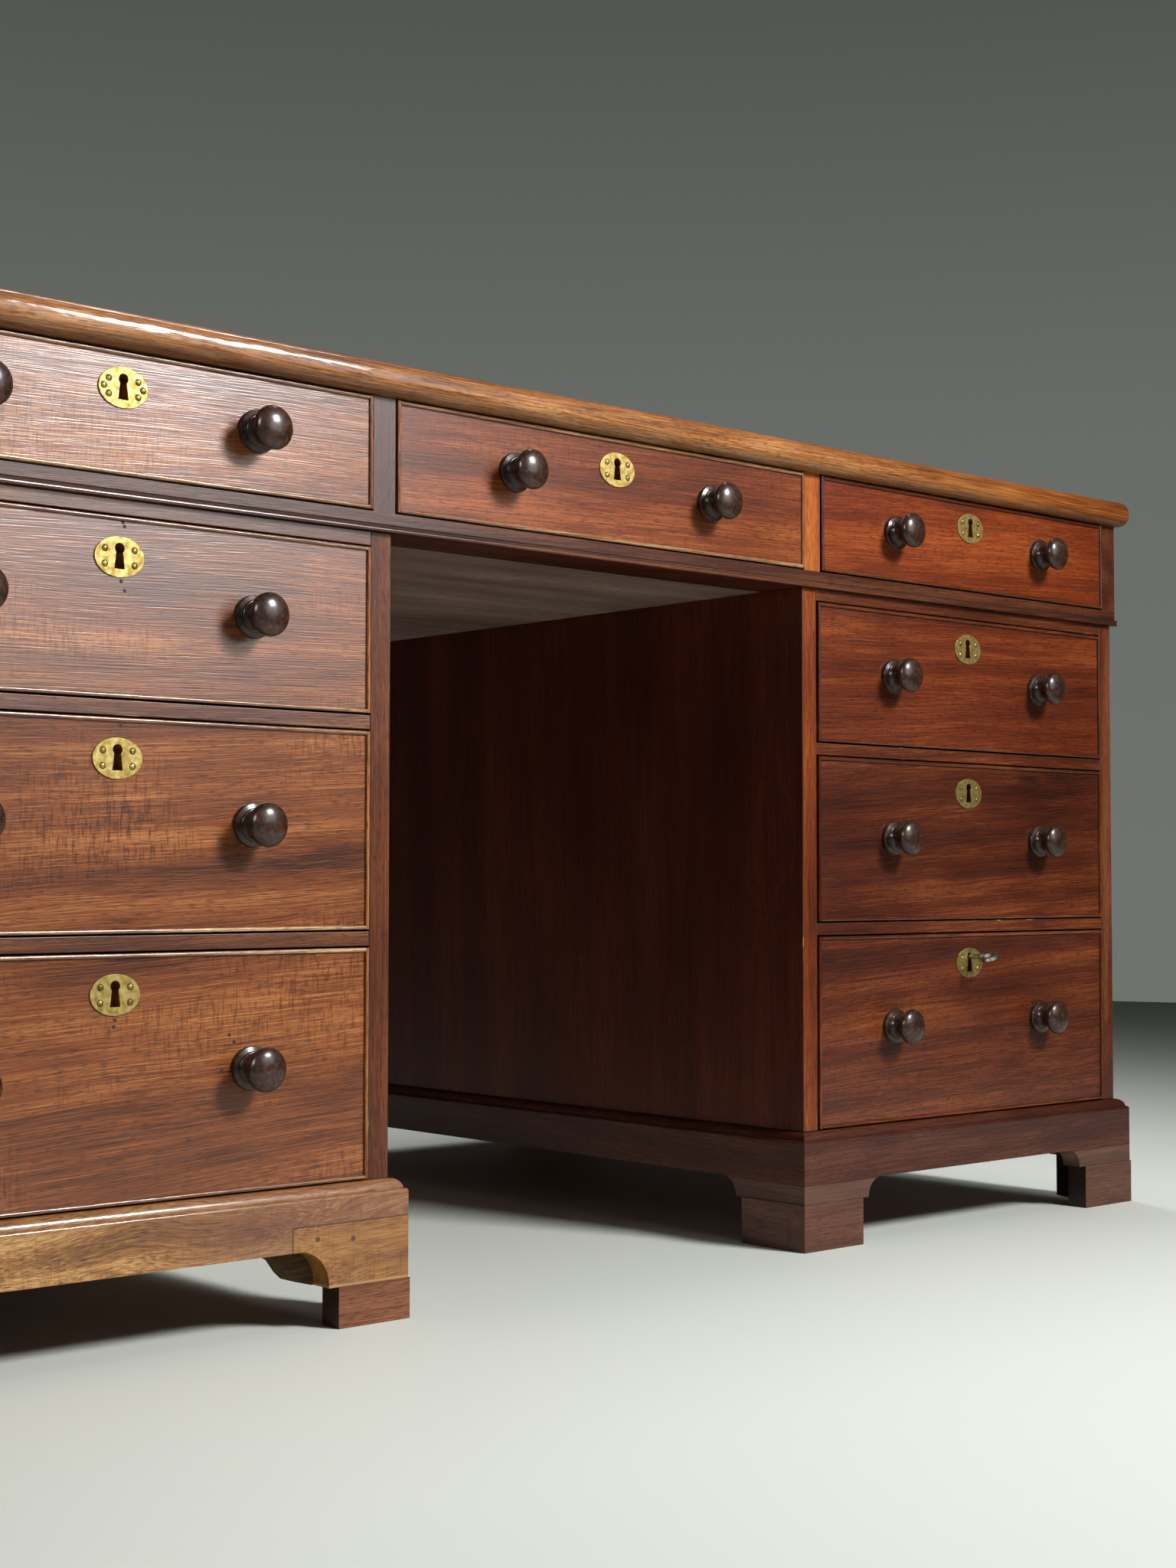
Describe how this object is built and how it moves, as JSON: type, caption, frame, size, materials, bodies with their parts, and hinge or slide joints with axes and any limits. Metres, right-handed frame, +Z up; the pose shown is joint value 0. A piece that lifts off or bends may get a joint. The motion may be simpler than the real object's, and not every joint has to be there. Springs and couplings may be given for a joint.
{
  "type": "partners desk",
  "caption": "Large pedestal writing desk with turned knobs, drawers in the frieze and pedestals, bracket plinths, a leather-lined top and cupboards on the far side.",
  "frame": {"origin": "on the floor under the middle of the desk", "axes": "+X along the desk to the right of someone who faces the pictured side, +Y to the far side, +Z up"},
  "size_m": [1.546, 1.0207, 0.78],
  "materials": {
    "mahogany": "old polish, worn",
    "top_mahogany": "old polish",
    "golden_plinth": "faded polish",
    "dark_plinth": "dark polish",
    "drawer_lining": "bare wood",
    "ebonised_wood": "dark polish",
    "green_leather": "waxed",
    "brass": "dull",
    "steel": "worn"
  },
  "bodies": {
    "carcass": {"top_slab": "top_mahogany", "writing_leather": "green_leather", "frieze_frame": "mahogany", "pedestal_left": "mahogany", "pedestal_right": "mahogany", "plinth_left": "golden_plinth", "plinth_right": "dark_plinth", "hinge_leaves": "brass"},
    "frieze_left_drawer": {"frieze_left_drawer_front": "mahogany", "frieze_left_drawer_box": "drawer_lining", "frieze_left_drawer_knobs": "ebonised_wood", "frieze_left_drawer_lock": "brass"},
    "frieze_middle_drawer": {"frieze_middle_drawer_front": "mahogany", "frieze_middle_drawer_box": "drawer_lining", "frieze_middle_drawer_knobs": "ebonised_wood", "frieze_middle_drawer_lock": "brass"},
    "frieze_right_drawer": {"frieze_right_drawer_front": "mahogany", "frieze_right_drawer_box": "drawer_lining", "frieze_right_drawer_knobs": "ebonised_wood", "frieze_right_drawer_lock": "brass"},
    "left_top_drawer": {"left_top_drawer_front": "mahogany", "left_top_drawer_box": "drawer_lining", "left_top_drawer_knobs": "ebonised_wood", "left_top_drawer_lock": "brass"},
    "left_middle_drawer": {"left_middle_drawer_front": "mahogany", "left_middle_drawer_box": "drawer_lining", "left_middle_drawer_knobs": "ebonised_wood", "left_middle_drawer_lock": "brass"},
    "left_bottom_drawer": {"left_bottom_drawer_front": "mahogany", "left_bottom_drawer_box": "drawer_lining", "left_bottom_drawer_knobs": "ebonised_wood", "left_bottom_drawer_lock": "brass"},
    "right_top_drawer": {"right_top_drawer_front": "mahogany", "right_top_drawer_box": "drawer_lining", "right_top_drawer_knobs": "ebonised_wood", "right_top_drawer_lock": "brass"},
    "right_middle_drawer": {"right_middle_drawer_front": "mahogany", "right_middle_drawer_box": "drawer_lining", "right_middle_drawer_knobs": "ebonised_wood", "right_middle_drawer_lock": "brass"},
    "right_bottom_drawer": {"right_bottom_drawer_front": "mahogany", "right_bottom_drawer_box": "drawer_lining", "right_bottom_drawer_knobs": "ebonised_wood", "right_bottom_drawer_lock": "brass"},
    "right_bottom_drawer_bolt": {"right_bottom_drawer_bolt": "steel"},
    "right_bottom_drawer_key": {"right_bottom_drawer_key": "steel"},
    "rear_left_drawer": {"rear_left_drawer_front": "mahogany", "rear_left_drawer_box": "drawer_lining", "rear_left_drawer_knobs": "ebonised_wood"},
    "rear_middle_drawer": {"rear_middle_drawer_front": "mahogany", "rear_middle_drawer_box": "drawer_lining", "rear_middle_drawer_knobs": "ebonised_wood"},
    "rear_right_drawer": {"rear_right_drawer_front": "mahogany", "rear_right_drawer_box": "drawer_lining", "rear_right_drawer_knobs": "ebonised_wood"},
    "left_door": {"left_door_leaf": "mahogany", "left_door_fittings": "brass"},
    "right_door": {"right_door_leaf": "mahogany", "right_door_fittings": "brass"}
  },
  "joints": [
    {"name": "frieze_left_drawer_slide", "type": "slide", "parent": "carcass", "child": "frieze_left_drawer", "axis": [0, -1, 0], "range_m": [0, 0.38]},
    {"name": "frieze_middle_drawer_slide", "type": "slide", "parent": "carcass", "child": "frieze_middle_drawer", "axis": [0, -1, 0], "range_m": [0, 0.38]},
    {"name": "frieze_right_drawer_slide", "type": "slide", "parent": "carcass", "child": "frieze_right_drawer", "axis": [0, -1, 0], "range_m": [0, 0.38]},
    {"name": "left_top_drawer_slide", "type": "slide", "parent": "carcass", "child": "left_top_drawer", "axis": [0, -1, 0], "range_m": [0, 0.4]},
    {"name": "left_middle_drawer_slide", "type": "slide", "parent": "carcass", "child": "left_middle_drawer", "axis": [0, -1, 0], "range_m": [0, 0.4]},
    {"name": "left_bottom_drawer_slide", "type": "slide", "parent": "carcass", "child": "left_bottom_drawer", "axis": [0, -1, 0], "range_m": [0, 0.4]},
    {"name": "right_top_drawer_slide", "type": "slide", "parent": "carcass", "child": "right_top_drawer", "axis": [0, -1, 0], "range_m": [0, 0.4]},
    {"name": "right_middle_drawer_slide", "type": "slide", "parent": "carcass", "child": "right_middle_drawer", "axis": [0, -1, 0], "range_m": [0, 0.4]},
    {"name": "right_bottom_drawer_slide", "type": "slide", "parent": "carcass", "child": "right_bottom_drawer", "axis": [0, -1, 0], "range_m": [0, 0.4]},
    {"name": "rear_left_drawer_slide", "type": "slide", "parent": "carcass", "child": "rear_left_drawer", "axis": [0, 1, 0], "range_m": [0, 0.24]},
    {"name": "rear_middle_drawer_slide", "type": "slide", "parent": "carcass", "child": "rear_middle_drawer", "axis": [0, 1, 0], "range_m": [0, 0.24]},
    {"name": "rear_right_drawer_slide", "type": "slide", "parent": "carcass", "child": "rear_right_drawer", "axis": [0, 1, 0], "range_m": [0, 0.24]},
    {"name": "left_door_hinge", "type": "hinge", "parent": "carcass", "child": "left_door", "pos_m": [-0.733, 0.4793, 0.371], "axis": [0, 0, 1], "range_deg": [0, 110]},
    {"name": "right_door_hinge", "type": "hinge", "parent": "carcass", "child": "right_door", "pos_m": [0.733, 0.4793, 0.371], "axis": [0, 0, -1], "range_deg": [0, 110]},
    {"name": "key_turn", "type": "hinge", "parent": "right_bottom_drawer", "child": "right_bottom_drawer_key", "pos_m": [0.5005, -0.475, 0.2765], "axis": [0, 1, 0], "range_deg": [0, 180]},
    {"name": "bolt_slide", "type": "slide", "parent": "right_bottom_drawer", "child": "right_bottom_drawer_bolt", "axis": [0, 0, 1], "range_m": [0, 0.0061]}
  ],
  "couplings": [
    {"joint": "bolt_slide", "follows": "key_turn", "m_per_rad": 0.0019099}
  ]
}
